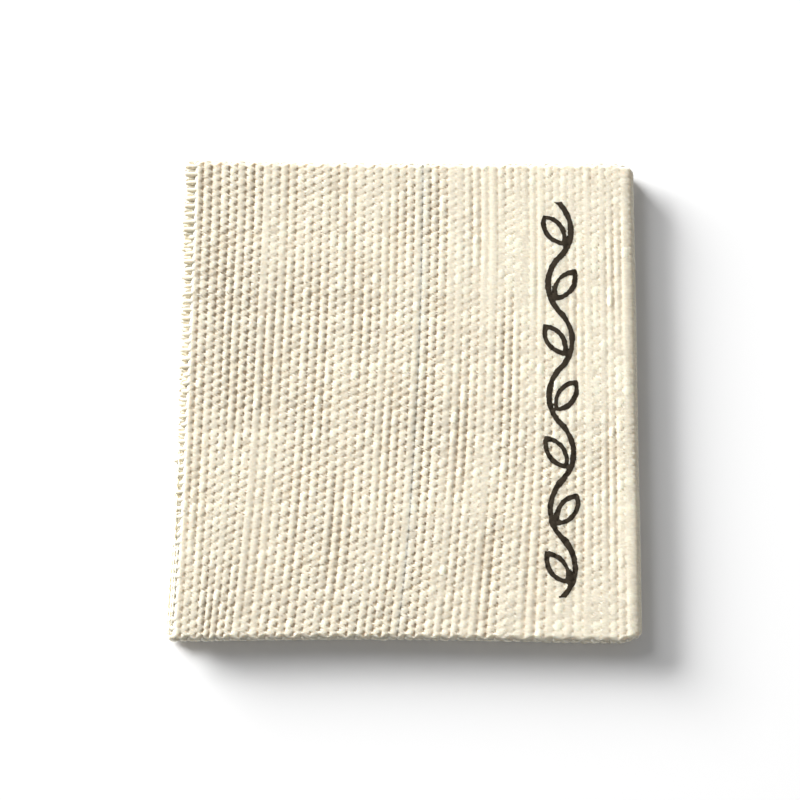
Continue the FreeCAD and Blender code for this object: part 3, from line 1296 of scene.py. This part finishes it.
class Label:
    """Builds every piece of the label and ties it to the CAD frame."""

    # Where a bending piece starts and stops following the turn, in millimetres from its centre.
    BEND_START, BEND_END = -0.3, 0.25

    def __init__(self, seed: int) -> None:
        """Prepares the weave and the finishes; seed fixes the unevenness."""
        self.sizes = WeaveSizes()
        self.shape = TapeShape.from_frame(self.sizes.border)
        self.weave = Weave(self.shape, self.sizes, seed)
        self.seed = seed
        finishes = Finishes()
        self.cotton = finishes.cotton(TAPE)
        # The loose threads take the darker copy of the cotton, as painted shade.
        self.loose = finishes.cotton(LOOSE)
        self.ink = finishes.ink(INK)

    def _bend(self, piece: bpy.types.Object) -> None:
        """Bakes a piece's placement into its mesh; nothing makes it bend with the fold.

        Args:
            piece: the piece.
        """

        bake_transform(piece)

    def _cloth(self, side: Side) -> Patch:
        """Builds one half of the strip: its two sheets and the threads around them.

        Args:
            side: the half of the strip.

        Returns:
            The outer face of the sheet at the fold.
        """
        half = ClothHalf(self.weave, side)
        seam, last = self.sizes.seam_rib, self.sizes.ribs
        fold = half.build(f"{side.body}_fold_cloth", 0, seam, self.cotton)
        free = half.build(f"{side.body}_free_cloth", seam, last, self.cotton)
        self._bend(fold)
        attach(free, side.body)
        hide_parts(f"{side.body}_leaf")
        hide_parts("fold_turn")
        edges = EdgeThreads(self.weave, side, self.seed)
        turns = edges.selvedge_turns(f"{side.body}_selvedge_turns", self.cotton)
        self._bend(turns)
        ends = edges.warp_ends(f"{side.body}_warp_ends", self.loose)
        picks = edges.loose_picks(f"{side.body}_loose_picks", self.loose)
        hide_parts(f"{side.body}_cut_ends")
        for piece in (ends, picks):
            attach(piece, side.body)
        return half.patch(0, seam, Face.OUTER)

    def build(self) -> None:
        """Builds the whole label."""
        self._cloth(Side.BACK)
        printed_face = self._cloth(Side.FRONT)
        low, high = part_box("printed_vine")
        vine = PrintedVine(0.5 * (low.x + high.x) / MM, self.seed)
        film = vine.build("vine_print", printed_face, self.ink)
        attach(film, "front")
        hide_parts("printed_vine")


@dataclass(frozen=True)
class Lamp:
    """A rectangular light that faces the label: place and size in metres, power in watts."""

    name: str
    place: tuple[float, float, float]
    size: tuple[float, float]
    power: float


class Studio:
    """The pale table, the camera and the lights."""

    TABLE_SIZE, TABLE_WHITE, TABLE_BELOW = 1.2, 0.93, 0.00002
    CAMERA_PLACE, CAMERA_DEGREES = (-0.00075, -0.01704, 0.09), (10.69, -0.35, 0.35)
    LENS, SENSOR, NEAREST = 80.3, 36, 0.001
    LAMPS = (
        Lamp("low_light", (-1.26, 0.95, 0.46), (0.9, 0.5), 68.0),
        Lamp("high_light", (-0.92, 0.86, 0.98), (0.6, 0.6), 8.0),
    )
    SKY = 0.25

    @staticmethod
    def _deselect() -> None:
        """Leaves nothing selected."""
        bpy.ops.object.select_all(action="DESELECT")

    def table(self) -> None:
        """Adds the white table that the label lies on."""
        self._deselect()
        bpy.ops.mesh.primitive_plane_add(size=self.TABLE_SIZE, location=(0, 0, -self.TABLE_BELOW))
        table = bpy.context.object
        table.name = "table"
        white = bpy.data.materials.new("table_white")
        white.use_nodes = True
        shader = white.node_tree.nodes["Principled BSDF"]
        shader.inputs["Base Color"].default_value = (*[self.TABLE_WHITE] * 3, 1)
        shader.inputs["Roughness"].default_value = 1.0
        shader.inputs["Specular IOR Level"].default_value = 0.0
        table.data.materials.append(white)

    def camera(self) -> None:
        """Adds the camera, nearly above the label."""
        self._deselect()
        bpy.ops.object.camera_add(
            location=self.CAMERA_PLACE,
            rotation=tuple(math.radians(angle) for angle in self.CAMERA_DEGREES),
        )
        camera = bpy.context.object
        camera.name = "camera"
        camera.data.lens = self.LENS
        camera.data.sensor_width = self.SENSOR
        camera.data.clip_start = self.NEAREST
        bpy.context.scene.camera = camera

    def lights(self) -> None:
        """Adds two broad lights from the upper left, one low and one high, and an even sky."""
        for lamp in self.LAMPS:
            self._deselect()
            bpy.ops.object.light_add(type="AREA", location=lamp.place)
            light = bpy.context.object
            light.name = lamp.name
            light.data.shape = "RECTANGLE"
            light.data.size, light.data.size_y = lamp.size
            light.data.energy = lamp.power
            light.rotation_euler = light.location.to_track_quat("Z", "Y").to_euler()
        world = bpy.data.worlds.new("sky")
        world.use_nodes = True
        sky = world.node_tree.nodes["Background"]
        sky.inputs["Color"].default_value = (1, 1, 1, 1)
        sky.inputs["Strength"].default_value = self.SKY
        bpy.context.scene.world = world
        bpy.context.scene.view_settings.view_transform = "Standard"


def main() -> None:
    """Builds the scene."""
    logging.basicConfig(level=logging.INFO)
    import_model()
    Label(SEED).build()
    studio = Studio()
    studio.table()
    studio.camera()
    studio.lights()


if __name__ == "__main__":
    main()
